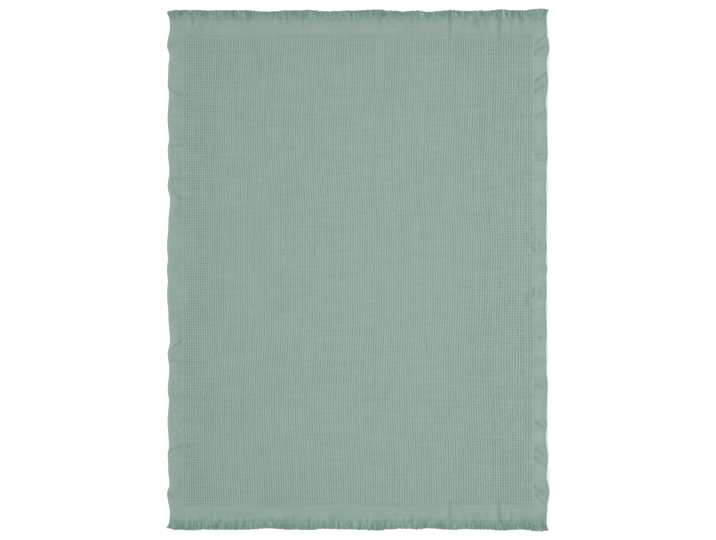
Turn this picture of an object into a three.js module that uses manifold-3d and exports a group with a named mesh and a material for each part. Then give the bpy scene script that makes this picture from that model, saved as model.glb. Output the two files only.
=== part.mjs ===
// Cotton throw blanket lying flat: a waffle-woven field inside a plain-woven border, all one cloth,
// with ruffled selvedges and a short fringe of cut warp ends at its head and foot.
// Millimetres, +Z up. X runs from selvedge to selvedge and Y from fringe to fringe.
// The origin is on the surface the throw lies on, under its middle.
import * as THREE from "three";
import { mergeVertices } from "three/addons/utils/BufferGeometryUtils.js";
import Module from "manifold-3d";

const wasm = await Module();
wasm.setup();

// Driving dimensions
const SPAN = 1314; // across the furthest bulges of the two selvedges
const CLOTH_LENGTH = 1726; // woven length, without the fringe
const FIELD_WIDTH = 1194; // waffle weave
const FIELD_LENGTH = 1608;
const FIELD_THICKNESS = 3; // the waffle's ridges
const BORDER_THICKNESS = 1.4; // the plain weave
const FRINGE_REACH = 29; // warp ends beyond the woven edge
const STRIP_DEPTH = 4; // last picks of the weave, which hold the fringe's roots
const PARTING = 0.3; // gap between the cloth and that strip
const LOCKS = 136; // locks of warp ends along each fringe
const LOCK_ROOT_WIDTH = 8;
const LOCK_TIP_WIDTH = 5.6;
const LOCK_ROOT_THICKNESS = 0.8;
const LOCK_THICKNESS = 1.8;
const ROOT_DEPTH = 1; // how deep a lock's root sits in the strip
const LOCK_LEAN = 1.2; // how far a lock's tip strays sideways
const CORNER_FLARE = 9; // how far the outermost lock leans outwards
const FLARE_WIDTH = 22; // stretch at each corner over which locks lean outwards
const REACH_SPREAD = 2.4; // uneven cutting from one lock to the next

// Facets
const SIDE_STEPS = 96;
const END_STEPS = 72;
const BORDER_LEVELS = [0, 0.1, 0.25, 0.5, 0.8, 1]; // shares of the way from the field to the edge
const LOCK_STEPS = 2;

const COTTON = new THREE.MeshStandardMaterial({ color: 0x94aa9e, roughness: 0.95, metalness: 0 });
const CUT_ENDS = new THREE.MeshStandardMaterial({ color: 0x7f9a8c, roughness: 0.97, metalness: 0 });

// Turning points of each selvedge, from the middle of the throw to its end, alike towards both ends.
// along: distance from the middle. inset: how far the edge draws in from the furthest bulge.
// lift: how high the border stands off the surface there, where it is too long for the waffle.
const LEFT_SELVEDGE = [
  { along: 0, inset: 0, lift: 0.3 },
  { along: 36, inset: 3.2, lift: 1.8 },
  { along: 81, inset: 0.6, lift: 0.2 },
  { along: 160, inset: 5.2, lift: 1.7 },
  { along: 242, inset: 10.9, lift: 3.2 },
  { along: 287, inset: 2.6, lift: 0.2 },
  { along: 338, inset: 8.2, lift: 2.7 },
  { along: 414, inset: 2.9, lift: 0.2 },
  { along: 448, inset: 7.3, lift: 2.3 },
  { along: 517, inset: 2.4, lift: 0 },
  { along: 610, inset: 7.1, lift: 2.3 },
  { along: 634, inset: 3.1, lift: 1 },
  { along: 690, inset: 4.6, lift: 0.3 },
  { along: 737, inset: 8.9, lift: 3.1 },
  { along: 768, inset: 1.1, lift: 0.3 },
  { along: 837, inset: 10.4, lift: 1.6 },
  { along: 863, inset: 8.8, lift: 0 },
];
const RIGHT_SELVEDGE = [
  { along: 0, inset: 6.5, lift: 0.8 },
  { along: 26, inset: 10.9, lift: 5 },
  { along: 84, inset: 8, lift: 0.8 },
  { along: 119, inset: 11.7, lift: 6 },
  { along: 211, inset: 7.9, lift: 0.4 },
  { along: 294, inset: 11.5, lift: 7 },
  { along: 325, inset: 8.5, lift: 1.6 },
  { along: 349, inset: 10, lift: 4 },
  { along: 397, inset: 5, lift: 0 },
  { along: 503, inset: 9.2, lift: 5 },
  { along: 531, inset: 7.7, lift: 1.6 },
  { along: 569, inset: 12.5, lift: 7 },
  { along: 644, inset: 4.2, lift: 0.4 },
  { along: 709, inset: 10.1, lift: 7.5 },
  { along: 761, inset: 0, lift: 0.8 },
  { along: 820, inset: 8.6, lift: 4 },
  { along: 863, inset: 10.2, lift: 0 },
];

// Across the border, a ruffle rises to its lift at the crest, and the edge keeps a share of that height.
const LEFT_RUFFLE = { crest: 0.5, edge: 0.35 };
const RIGHT_RUFFLE = { crest: 0.95, edge: 1 };

// Soft ridges that run from the field to the fringe across the end borders, alike at both ends.
const END_RIPPLES = [
  { across: -560, lift: 2.4, halfWidth: 26 },
  { across: -437, lift: 1.4, halfWidth: 38 },
  { across: -262, lift: 1.8, halfWidth: 44 },
  { across: -96, lift: 1.5, halfWidth: 36 },
  { across: 62, lift: 2.2, halfWidth: 28 },
  { across: 160, lift: 2.4, halfWidth: 28 },
  { across: 232, lift: 1.4, halfWidth: 24 },
  { across: 300, lift: 2.4, halfWidth: 24 },
  { across: 380, lift: 3.6, halfWidth: 34 },
  { across: 474, lift: 2.6, halfWidth: 22 },
  { across: 538, lift: 4, halfWidth: 30 },
  { across: 604, lift: 1.6, halfWidth: 22 },
];

// How far the fringe's cut line wanders past FRINGE_REACH, alike at both ends.
const CUT_LINE = [
  { across: -657, past: -6 },
  { across: -622, past: 1.7 },
  { across: -556, past: 2.4 },
  { across: -521, past: -0.3 },
  { across: -486, past: 0.9 },
  { across: -390, past: 1.2 },
  { across: -313, past: -3.6 },
  { across: -228, past: 0.7 },
  { across: -156, past: 1.5 },
  { across: -124, past: -2.4 },
  { across: -40, past: -0.3 },
  { across: 76, past: 3.4 },
  { across: 100, past: 0 },
  { across: 160, past: -2.8 },
  { across: 202, past: 0.4 },
  { across: 236, past: -4 },
  { across: 327, past: 1.8 },
  { across: 358, past: -0.8 },
  { across: 440, past: 0 },
  { across: 494, past: 3.9 },
  { across: 562, past: 0.3 },
  { across: 618, past: 6.8 },
  { across: 657, past: 5 },
];

const HALF_SPAN = SPAN / 2;
const FIELD_X = FIELD_WIDTH / 2;
const FIELD_Y = FIELD_LENGTH / 2;
const WOVEN_END = CLOTH_LENGTH / 2;
const CLOTH_END = WOVEN_END - STRIP_DEPTH - PARTING;
const THINNING = (HALF_SPAN - FIELD_X) * BORDER_LEVELS[1]; // where the waffle thins to plain weave

const clamp = THREE.MathUtils.clamp;
const lerp = THREE.MathUtils.lerp;
const ease = (share) => (1 - Math.cos(Math.PI * clamp(share, 0, 1))) / 2;

// A fixed, uneven number from 0 to 1 for each lock of a fringe, and for each use of it.
const uneven = (number, use) => THREE.MathUtils.seededRandom(use * LOCKS + number);

// A table's value at a place, eased from one row to the next.
function eased(table, placeKey, valueKey, place) {
  const next = table.findIndex((row) => row[placeKey] >= place);
  if (next === 0) return table[0][valueKey];
  if (next < 0) return table[table.length - 1][valueKey];
  const [before, after] = [table[next - 1], table[next]];
  const share = (place - before[placeKey]) / (after[placeKey] - before[placeKey]);
  return lerp(before[valueKey], after[valueKey], ease(share));
}

const selvedgeTable = (side) => (side < 0 ? LEFT_SELVEDGE : RIGHT_SELVEDGE);

function selvedgeX(side, y) {
  return side * (HALF_SPAN - eased(selvedgeTable(side), "along", "inset", Math.abs(y)));
}

function rippleLift(x) {
  const ridge = (row) => row.lift * Math.exp(-(((x - row.across) / row.halfWidth) ** 2));
  return END_RIPPLES.reduce((sum, row) => sum + ridge(row), 0);
}

// Share of a ruffle's lift at a share of the way out from the field to the selvedge.
function ruffleShare(side, out) {
  const { crest, edge } = side < 0 ? LEFT_RUFFLE : RIGHT_RUFFLE;
  return out < crest ? ease(out / crest) : lerp(1, edge, ease((out - crest) / (1 - crest)));
}

// Height of the cloth's underside: nothing under the field, rising towards ruffled and rippled edges.
function underside(x, y) {
  const side = Math.sign(x) || 1;
  const outX = (Math.abs(x) - FIELD_X) / (Math.abs(selvedgeX(side, y)) - FIELD_X);
  const outY = (Math.abs(y) - FIELD_Y) / (CLOTH_END - FIELD_Y);
  const ruffle = eased(selvedgeTable(side), "along", "lift", Math.abs(y)) * ruffleShare(side, outX);
  return ruffle + rippleLift(x) * ease(outY);
}

// Thickness of the weave: the waffle's, thinning to the plain weave's just outside the field.
function thickness(x, y) {
  const outside = Math.max(Math.abs(x) - FIELD_X, Math.abs(y) - FIELD_Y, 0);
  return lerp(FIELD_THICKNESS, BORDER_THICKNESS, clamp(outside / THINNING, 0, 1));
}

// Stations round the border, anticlockwise from the corner at -X, -Y.
// Each pairs a point on the field's edge with a point on the cloth's edge.
function borderStations() {
  const stations = [];
  const add = (inner, outer) =>
    stations.push({ inner: new THREE.Vector2(...inner), outer: new THREE.Vector2(...outer) });
  const alongEnd = (end, from, to) => {
    for (let i = 0; i < END_STEPS; i++) {
      const share = i / END_STEPS;
      const edgeX = lerp(selvedgeX(from, CLOTH_END), selvedgeX(to, CLOTH_END), share);
      add([lerp(from, to, share) * FIELD_X, end * FIELD_Y], [edgeX, end * CLOTH_END]);
    }
  };
  const alongSide = (side, from, to) => {
    for (let i = 0; i < SIDE_STEPS; i++) {
      const along = lerp(from, to, i / SIDE_STEPS);
      const edgeY = along * CLOTH_END;
      add([side * FIELD_X, along * FIELD_Y], [selvedgeX(side, edgeY), edgeY]);
    }
  };
  alongEnd(-1, -1, 1);
  alongSide(1, -1, 1);
  alongEnd(1, 1, -1);
  alongSide(-1, 1, -1);
  return stations;
}

// The field's face, from the stations on its rim: a ladder of rungs from side to side,
// with a fan of triangles at each end. Indices are into the ring of stations.
function fieldTriangles() {
  const ring = 2 * (END_STEPS + SIDE_STEPS);
  const right = (step) => END_STEPS + step;
  const left = (step) => (ring - step) % ring;
  const triangles = [];
  for (let step = 1; step < SIDE_STEPS - 1; step++) {
    triangles.push([left(step), right(step), right(step + 1)]);
    triangles.push([left(step), right(step + 1), left(step + 1)]);
  }
  const half = END_STEPS / 2;
  const fan = (start, firstHub, secondHub) => {
    for (let i = 0; i < END_STEPS; i++) {
      triangles.push([start + i, start + i + 1, i < half ? firstHub : secondHub]);
    }
    triangles.push([start + half, secondHub, firstHub]);
  };
  fan(0, left(1), right(1));
  fan(END_STEPS + SIDE_STEPS, right(SIDE_STEPS - 1), left(SIDE_STEPS - 1));
  return triangles;
}

// Woven cloth: the field, the border round it, the same two below, and the rim between them.
function clothGeometry() {
  const stations = borderStations();
  const ring = stations.length;
  const levels = BORDER_LEVELS.length;
  const layer = ring * levels;
  const positions = [];
  for (const top of [true, false]) {
    for (const level of BORDER_LEVELS) {
      for (const { inner, outer } of stations) {
        const point = inner.clone().lerp(outer, level);
        const under = underside(point.x, point.y);
        const height = top ? under + thickness(point.x, point.y) : under;
        positions.push(point.x, point.y, height);
      }
    }
  }
  const index = [];
  const upper = (level, station) => level * ring + (station % ring);
  const lower = (level, station) => layer + upper(level, station);
  for (const [a, b, c] of fieldTriangles()) {
    index.push(upper(0, a), upper(0, b), upper(0, c));
    index.push(lower(0, a), lower(0, c), lower(0, b));
  }
  const quad = (a, b, c, d) => index.push(a, b, c, a, c, d);
  for (let s = 0; s < ring; s++) {
    for (let n = 0; n < levels - 1; n++) {
      quad(upper(n, s), upper(n + 1, s), upper(n + 1, s + 1), upper(n, s + 1));
      quad(lower(n, s), lower(n, s + 1), lower(n + 1, s + 1), lower(n + 1, s));
    }
    quad(upper(levels - 1, s), lower(levels - 1, s), lower(levels - 1, s + 1), upper(levels - 1, s + 1));
  }
  const geometry = new THREE.BufferGeometry();
  geometry.setAttribute("position", new THREE.Float32BufferAttribute(positions, 3));
  geometry.setIndex(index);
  geometry.computeVertexNormals();
  return geometry;
}

// A box of unit size, its middle at the origin, with each corner moved by a function of its place.
function shapedBox(stepsX, stepsY, place) {
  const box = new THREE.BoxGeometry(1, 1, 1, stepsX, stepsY, 1);
  const corners = box.getAttribute("position");
  const corner = new THREE.Vector3();
  for (let i = 0; i < corners.count; i++) {
    corner.fromBufferAttribute(corners, i);
    corners.setXYZ(i, ...place(corner));
  }
  return box;
}

// The strip of weave that holds a fringe, following the cloth's edge.
function stripGeometry() {
  const fromX = selvedgeX(-1, CLOTH_END);
  const toX = selvedgeX(1, CLOTH_END);
  return shapedBox(END_STEPS, 1, (corner) => {
    const x = lerp(fromX, toX, corner.x + 0.5);
    const y = WOVEN_END + (corner.y - 0.5) * STRIP_DEPTH;
    return [x, y, underside(x, CLOTH_END) + (corner.z + 0.5) * BORDER_THICKNESS];
  });
}

// One lock of warp ends: from its root in the strip down to the surface, then flat along it to its cut tip.
function lockGeometry(number) {
  const pitch = (selvedgeX(1, CLOTH_END) - selvedgeX(-1, CLOTH_END)) / LOCKS;
  const rootX = selvedgeX(-1, CLOTH_END) + pitch * (number + 0.5);
  const fromCorner = pitch * Math.min(number, LOCKS - 1 - number);
  const flare = Math.sign(rootX) * CORNER_FLARE * Math.exp(-fromCorner / FLARE_WIDTH);
  const lean = LOCK_LEAN * (2 * uneven(number, 1) - 1) + flare;
  const rootY = WOVEN_END - ROOT_DEPTH;
  const rootUnder = underside(rootX, CLOTH_END) + (BORDER_THICKNESS - LOCK_ROOT_THICKNESS) / 2;
  const cut = REACH_SPREAD * (uneven(number, 2) - 0.5);
  const tipY = WOVEN_END + FRINGE_REACH + eased(CUT_LINE, "across", "past", rootX) + cut;
  return shapedBox(1, LOCK_STEPS, (corner) => {
    const share = corner.y + 0.5;
    const width = lerp(LOCK_ROOT_WIDTH, LOCK_TIP_WIDTH, share);
    const under = share > 0 ? 0 : rootUnder;
    const thick = share > 0 ? LOCK_THICKNESS : LOCK_ROOT_THICKNESS;
    return [
      rootX + lean * share ** 2 + corner.x * width,
      lerp(rootY, tipY, share),
      under + (corner.z + 0.5) * thick,
    ];
  });
}

function solidOf(geometry) {
  const bare = geometry.clone();
  bare.deleteAttribute("normal");
  bare.deleteAttribute("uv");
  const merged = mergeVertices(bare);
  const mesh = new wasm.Mesh({
    numProp: 3,
    vertProperties: new Float32Array(merged.getAttribute("position").array),
    triVerts: new Uint32Array(merged.getIndex().array),
  });
  return new wasm.Manifold(mesh);
}

function geometryOf(solid) {
  const mesh = solid.getMesh();
  const geometry = new THREE.BufferGeometry();
  geometry.setAttribute("position", new THREE.BufferAttribute(mesh.vertProperties, 3));
  geometry.setIndex(new THREE.BufferAttribute(mesh.triVerts, 1));
  geometry.computeVertexNormals();
  return geometry;
}

// A fringe at the +Y end: its locks fused at their roots into one strip.
function fringeGeometry() {
  let fringe = solidOf(stripGeometry());
  for (let number = 0; number < LOCKS; number++) {
    fringe = fringe.add(solidOf(lockGeometry(number)));
  }
  return geometryOf(fringe);
}

function piece(name, geometry, material) {
  const mesh = new THREE.Mesh(geometry, material);
  mesh.name = name;
  return mesh;
}

const throwBlanket = new THREE.Group();
throwBlanket.add(piece("throw_cloth", clothGeometry(), COTTON));
const headFringe = fringeGeometry();
throwBlanket.add(piece("fringe_head", headFringe, CUT_ENDS));
const footFringe = piece("fringe_foot", headFringe.clone(), CUT_ENDS);
footFringe.scale.y = -1;
throwBlanket.add(footFringe);

export default throwBlanket;
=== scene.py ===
"""A sage green cotton throw that lies flat, seen from straight above.

One woven cloth, waffle weave inside a plain border with ruffled selvedges, and a fringe of cut warp ends
along its head and foot. Metres, +Z up; X runs from selvedge to selvedge and Y from foot to head.
"""
import math

import bpy
import numpy as np
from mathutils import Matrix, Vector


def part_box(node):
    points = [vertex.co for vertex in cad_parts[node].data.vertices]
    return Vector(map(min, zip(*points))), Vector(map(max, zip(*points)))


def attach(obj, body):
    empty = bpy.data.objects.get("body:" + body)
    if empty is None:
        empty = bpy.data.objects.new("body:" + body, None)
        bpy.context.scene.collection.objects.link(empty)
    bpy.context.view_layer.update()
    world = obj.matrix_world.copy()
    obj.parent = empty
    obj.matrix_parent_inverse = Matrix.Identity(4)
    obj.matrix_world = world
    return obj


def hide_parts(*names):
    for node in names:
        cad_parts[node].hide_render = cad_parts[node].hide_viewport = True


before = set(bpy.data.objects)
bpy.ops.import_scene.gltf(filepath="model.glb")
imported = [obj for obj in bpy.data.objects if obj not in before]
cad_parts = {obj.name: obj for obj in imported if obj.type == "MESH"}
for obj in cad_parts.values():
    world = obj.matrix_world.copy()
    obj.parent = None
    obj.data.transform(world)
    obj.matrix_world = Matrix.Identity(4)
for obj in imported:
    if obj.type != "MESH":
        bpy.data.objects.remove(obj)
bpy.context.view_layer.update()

# Sizes of the weave
FIELD_X = 0.597  # half the waffle's width
FIELD_Y = 0.804  # half its length
FIELD_THICKNESS = 0.003  # over the waffle's ridges
BORDER_THICKNESS = 0.0014  # of the plain weave
EDGE_THICKNESS = 0.0008  # of the cloth at its very edge
ROUNDED_EDGE = 0.03  # share of the border in which its edge is rounded off
THINNEST = 0.0003  # cloth left under the deepest cells
STRIP_DEPTH = 0.004  # last picks of the weave, which hold the fringe's roots
COLUMNS = 144  # waffle cells from side to side
ROWS = 176  # and from end to end
BORDER_CELLS = 6  # grid cells from the field to each edge
YARNS_PER_CELL = 10

# The change from waffle to plain weave. A patch is the size in metres over which something varies.
SIDE_CHANGE = 0.006  # how wide the change is along the sides
END_CHANGE = 0.011  # and along the ends
CHANGE_OUTSIDE = 0.25  # share of it that lies outside the field
CHANGE_UNEVEN = 0.3  # how far it wanders in and out, as a share of its width
CHANGE_PATCH = 0.02
THINNING = 0.018  # over how far the cloth thins to the plain weave, from one cell inside the field's edge
END_LINE_WIDTH = 0.0045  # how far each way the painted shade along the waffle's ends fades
END_LINE_MEAN = 0.65  # how strongly that painted shade shows on average
END_LINE_UNEVEN = 0.35  # and how far that varies
END_LINE_PATCH = 0.09

# Depth of the waffle's cells
PIT_DEPTH = 0.00145  # in the middle of the throw
LEFT_PIT_DEPTH = 0.0023  # and near each side, where the weave has drawn in more
RIGHT_PIT_DEPTH = 0.0024
LEFT_RIM_REACH = 0.22  # how far in from each side the cells are deeper
RIGHT_RIM_REACH = 0.36
END_PIT_EXTRA = 0.0002  # how much deeper the cells are at the ends
END_RIM_REACH = 0.15  # and how far in from the ends
CROSS_RIDGE_DIP = 0.6  # how far the ridges across the throw dip between two cells, as a share of the pits
RIM_RIDGE_DIP = 0.15  # and how far near the sides, where both ways' ridges stand out
CELL_DEPTHS = (0.85, 1.1)  # least and most depth of a single cell, as a share
ROW_UNEVEN = 0.07  # how far the depth varies in patches along the rows
ROW_PATCH = (0.13, 0.016)
COLUMN_UNEVEN = 0.1  # and in patches along the columns
COLUMN_PATCH = (0.012, 0.19)

# Unevenness of the hand of the cloth
LINE_DRIFT = 0.0016  # how far a row or a column of cells wanders
COLUMN_DRIFT_PATCH = 0.19
ROW_DRIFT_PATCH = 0.17
LINE_WAVER = 0.0007  # and how far it wavers on its way
WAVER_PATCH = 0.055
DRAWN_LEFT = 0.010  # how far the middle columns are drawn towards the left selvedge
DRAWN_LEFT_CURVE = 2  # how broad that middle is
DRAWN_RIGHT = 0.004  # how far the waffle's last columns are drawn towards the right one
DRAWN_RIGHT_CURVE = 3  # how near to the side
BOW_LEAN = 0.21  # how much nearer to the middle the columns bow most, for each metre to the right
BOW_FADE = 0.14  # how far inside the field's sides the bow fades out
CELL_JITTER = 0.00022  # how far a ridge crossing strays
RIDGE_JITTER = 0.00012  # how uneven the ridges' heights are
SWELL_HEIGHT = 0.0002  # long, low swells of the field
SWELL_PATCH = 0.085
DIMPLE_HEIGHT = 0.0001  # smaller ones
DIMPLE_PATCH = 0.027
BORDER_SWELL = 0.6  # share of both that thickens the border
PUCKER_HEIGHT = 0.0024  # mean height of the puckers where the fringe pulls at the weave
PUCKER_PATCH = (0.0105, 0.03)
PUCKER_REACH = 0.015  # how far the puckers run in from the fringe
SHOULDER = 0.9  # height of the low ridges beside a crease, for each unit of its depth
SHOULDER_SPREAD = 2  # how many times wider they reach than the trough
CREASE_CUT = 1.25  # depth of the trough below those ridges
FULL_CREASE_SHADE = 0.005  # depth of a crease that holds as much shade as any
PRESSED = 0.5  # how much of a crease is pressed into cloth that already lies on the floor
PICK_SLIP = 0.0042  # how far the last picks of the weave have slipped in or out
LONG_SLIP = 0.6  # share of that in long stretches
LONG_SLIP_PATCH = 0.031
SHORT_SLIP = 0.4  # and in short ones
SHORT_SLIP_PATCH = 0.0125
SPARE_KNOTS = 4  # knots of the uneven values past the throw's edges

# Seeds of the cloth's uneven values, one for each use
SEEDS = {
    "column_drift": 1,
    "row_drift": 2,
    "swells": 3,
    "dimples": 4,
    "puckers": 5,
    "depth_by_row": 6,
    "depth_by_column": 7,
    "weave_change": 8,
    "end_line_shade": 9,
    "crossings": 11,
    "ridges": 12,
    "cells": 13,
    "long_slips": 14,
    "short_slips": 15,
    "column_waver": 16,
    "row_waver": 17,
}

# Fringe
FRINGE_REACH = 0.029  # beyond the woven edge
WARP_ENDS = 3100  # along each end
YARN_RADIUS = 0.0005
YARN_SIDES = 4
STRAND_POINTS = 8  # along each yarn
HEM_POINTS = 600  # along the line of roots
ROOT_DEPTH = 0.002  # how deep the roots sit in the weave
TWISTS = 9  # turns of a yarn's two plies from its root to its tip
LOCK_PITCH = 0.0055  # yarns gather into locks of about this width
LOCK_PULL = 0.2  # share of the way to its lock's middle that a yarn is drawn at most
GATHER_CURVE = 1.4  # how late along its length it is drawn
STRAY = 0.0011  # how far a yarn strays sideways
LEAN_CURVE = 1.6  # how late along its length it leans or strays
BOW = 0.6  # size of its one long bend, in strays
CRIMP = 0.2  # and of its short ones
WISP = 0.009  # how far the wispiest yarn goes sideways
WISP_RARITY = 7.0  # how rare wispy yarns are
SETTLING = 0.014  # how far past the woven edge a yarn has come down to the floor
SETTLE_EASE = 0.2  # how softly its fall starts and ends
REST_HEIGHT = 1.3  # of a yarn on the floor, in radii
PILE = 0.0014  # how high yarns lie on others
PILE_ARCH = 2.2  # radians of the arch that they make
ROOT_GAUGE = 0.9  # a yarn's radius at its root, as a share
TIP_GAUGE = 0.25  # and how much it opens out towards its tip
TIP_CURVE = 3.0  # how near to the tip
TONE_CURVE = 1.8  # how rare light yarns are
TONE_SHARE = 0.7  # and how much lighter
LOCK_TONE_CURVE = 2.0  # how rare light locks are
LOCK_TONE_SHARE = 0.5  # and how much lighter
LOOSENING = 5.0  # how fast a yarn takes on its own tone along its length
LEFT_FLARE = 0.011  # how far the fringe leans out at each corner
RIGHT_FLARE = 0.008
FLARE_WIDTH = 0.022  # over how far in from the corner that fades

# Random values of the yarns: the least, the most, and whether each yarn or each lock has its own.
# A row's place in the table goes into its seed.
YARN_CHANCES = {
    "lock_blur": (-0.35, 0.35, "yarn"),  # how far over into a neighbour a lock takes its yarns, in locks
    "lock_middle": (0.2, 0.8, "lock"),  # where a lock gathers, as a share of its width
    "gather": (0.2, 1.0, "yarn"),
    "lock_stray": (-1.0, 1.0, "lock"),
    "lock_hold": (0.0, 1.0, "yarn"),  # how far a yarn goes with its lock's stray
    "stray": (-1.0, 1.0, "yarn"),
    "bow_turn": (2.0, 5.5, "yarn"),  # radians of the long bend from root to tip
    "bow_start": (0.0, 6.3, "yarn"),
    "crimp_turn": (8.0, 12.0, "yarn"),  # and of the short ones
    "crimp_start": (0.0, 6.3, "yarn"),
    "wispy": (0.0, 1.0, "yarn"),
    "wisp_side": (-1.0, 1.0, "yarn"),
    "cut": (0.87, 1.03, "yarn"),  # length, as a share
    "lock_cut": (0.96, 1.02, "lock"),
    "pile": (0.0, 1.0, "yarn"),
    "tone": (0.0, 1.0, "yarn"),
    "lock_tone": (0.0, 1.0, "lock"),
    "held": (0.0, 0.12, "lock"),  # share of its length in which a yarn keeps the cloth's tone
}

# Each fringe's piece, the node that it stands for, which way along Y it points, and its seed.
FRINGES = (
    ("head_yarns", "fringe_head", 1, 3),
    ("foot_yarns", "fringe_foot", -1, 8),
)

# Colours, as they show on a screen, from 0 to 255
RIDGE_COLOUR = (157, 179, 167)
RIM_RIDGE_COLOUR = (161, 182, 171)  # of the ridges near the sides
# painted shade: the pits, the creases and the line along the waffle's ends are darkened towards this colour
PIT_SHADE_COLOUR = (126, 151, 138)
BORDER_COLOUR = (148, 170, 158)
DARK_YARN_COLOUR = (115, 150, 133)
LIGHT_YARN_COLOUR = (170, 201, 186)
# a yarn's root, as dark as the cloth's edge with its painted shade
ROOT_COLOUR = (137, 164, 150)
TIP_COLOUR = (129, 149, 138)
SHEEN_COLOUR = (214, 232, 222)
FLOOR_COLOUR = (254, 254, 254)
WHITE = (255, 255, 255)

# Shade and tone of the cotton
WAFFLE_TONE_CURVE = 2.0  # how far into the change of weave the border's colour reaches
FULL_PIT_SHADE = 0.0019  # depth of a cell that holds as much shade as any
PIT_SHADE_CURVE = 0.6  # how soon shade fills a cell with its depth
END_LINE_SHADE = 0.55  # painted shade in a line along the waffle's ends, against the border
CREASE_SHADE = 0.32  # painted shade held in the small creases
END_SHADE = 0.44  # painted shade in the weave's loose last picks before the fringe, towards the dark yarns' colour
END_SHADE_REACH = 0.011  # how far in from the fringe that fades
TIP_FADE = 0.7  # how far a yarn's tip fades to the tips' colour
TIP_FADE_CURVE = 6.0  # and how near to the tip
WEAVE_TONE = {"Clouds": 0.03, "Streaks": 0.2, "Flecks": 0.1}
FRINGE_TONE = {"Clouds": 0.1, "Streaks": 0.0, "Flecks": 0.3}
WARP_STREAKS = 0.7  # strength of the streaks along the warp, beside those along the weft

# How many of each go to a metre along X, Y and Z
CLOUD_COUNTS = (11.0, 11.0, 11.0)
WEFT_STREAK_COUNTS = (6.0, 130.0, 6.0)
WARP_STREAK_COUNTS = (130.0, 5.0, 5.0)
FLECK_COUNTS = (620.0, 620.0, 620.0)
FIBRE_COUNTS = (2400.0, 2400.0, 2400.0)
NOISE_DETAIL = 2.0
NOISE_MEAN = 0.5

# Relief and gloss of the cotton
YARN_RELIEF = 0.0003  # height of the yarns in the cloth, and of the plies in a yarn
WEAVE_BUMP = 0.8  # how strongly that shows in the cloth
FRINGE_BUMP = 0.6  # and in the fringe
WEAVE_ROUGHNESS = 0.95  # between the yarns
TOP_POLISH = 0.1  # how much less on top of them
FRINGE_ROUGHNESS = 0.9  # of a yarn at its root
TIP_ROUGHNESS = 0.06  # how much more at its tip
COTTON_SPECULAR = 0.2
COTTON_SHEEN = 0.18
SHEEN_ROUGHNESS = 0.55

# The photograph's frame
PHOTO_WIDTH = 716  # pixels
PIXEL = 0.003436  # metres of cloth for each pixel
CAMERA_HEIGHT = 5.0

# Floor and light. Angles are in degrees.
FLOOR_REACH = 30.0
FLOOR_GAP = 0.0003  # under the throw
FLOOR_GLOW = 0.14
FLOOR_ROUGHNESS = 0.9
FLOOR_SPECULAR = 0.1
SURROUND_STRENGTH = 0.53
SIDE_LIGHT_STRENGTH = 2.2
SIDE_LIGHT_SPREAD = 40
SIDE_LIGHT_TILT = -55  # from straight down, so that it comes from the left
SIDE_LIGHT_TURN = -3  # and a little from the head
SOFT_BOX_POWER = 6.7
SOFT_BOX_SIZE = 0.8
SOFT_BOX_PLACE = (0.34, 0, 1.8)

# Turning points of each selvedge, from the middle of the throw to its end, alike towards both ends.
# along: distance from the middle. inset: how far the edge draws in from the furthest bulge.
# lift: how high the border stands off the floor there.
SELVEDGE_COLUMNS = ("along", "inset", "lift")
LEFT_SELVEDGE = (
    (0.000, 0.0000, 0.0003),
    (0.036, 0.0032, 0.0018),
    (0.081, 0.0006, 0.0002),
    (0.160, 0.0052, 0.0017),
    (0.242, 0.0109, 0.0032),
    (0.287, 0.0026, 0.0002),
    (0.338, 0.0082, 0.0027),
    (0.414, 0.0029, 0.0002),
    (0.448, 0.0073, 0.0023),
    (0.517, 0.0024, 0.0000),
    (0.610, 0.0071, 0.0023),
    (0.634, 0.0031, 0.0010),
    (0.690, 0.0046, 0.0003),
    (0.737, 0.0089, 0.0031),
    (0.768, 0.0011, 0.0003),
    (0.837, 0.0104, 0.0016),
    (0.863, 0.0088, 0.0000),
)
RIGHT_SELVEDGE = (
    (0.000, 0.0065, 0.0008),
    (0.026, 0.0109, 0.0050),
    (0.084, 0.0080, 0.0008),
    (0.119, 0.0117, 0.0060),
    (0.211, 0.0079, 0.0004),
    (0.294, 0.0115, 0.0070),
    (0.325, 0.0085, 0.0016),
    (0.349, 0.0100, 0.0040),
    (0.397, 0.0050, 0.0000),
    (0.503, 0.0092, 0.0050),
    (0.531, 0.0077, 0.0016),
    (0.569, 0.0125, 0.0070),
    (0.644, 0.0042, 0.0004),
    (0.709, 0.0101, 0.0075),
    (0.761, 0.0000, 0.0008),
    (0.820, 0.0086, 0.0040),
    (0.863, 0.0102, 0.0000),
)

# Across the border, a ruffle rises to its lift at the crest, and the edge keeps a share of that height.
# The crest is a share of the way from the field to the edge.
LEFT_CREST, LEFT_EDGE = 0.5, 0.35
RIGHT_CREST, RIGHT_EDGE = 0.95, 1.0
RIGHT_CURL = 0.0012  # how far the right selvedge curls up at its very edge
CURL_WIDTH = 0.009  # how far in from the edge the curl starts
CURL_LOSS = 0.0014  # how much of the selvedge's reach it takes
CURL_FADE = 0.07  # over how far it fades out at the selvedge's ends

# Soft ridges that run from the field to the fringe across the end borders, alike at both ends.
END_RIPPLE_COLUMNS = ("across", "lift", "half_width")
END_RIPPLES = (
    (-0.560, 0.0024, 0.026),
    (-0.437, 0.0014, 0.038),
    (-0.262, 0.0018, 0.044),
    (-0.096, 0.0015, 0.036),
    (0.062, 0.0022, 0.028),
    (0.160, 0.0024, 0.028),
    (0.232, 0.0014, 0.024),
    (0.300, 0.0024, 0.024),
    (0.380, 0.0036, 0.034),
    (0.474, 0.0026, 0.022),
    (0.538, 0.0040, 0.030),
    (0.604, 0.0016, 0.022),
)

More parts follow.
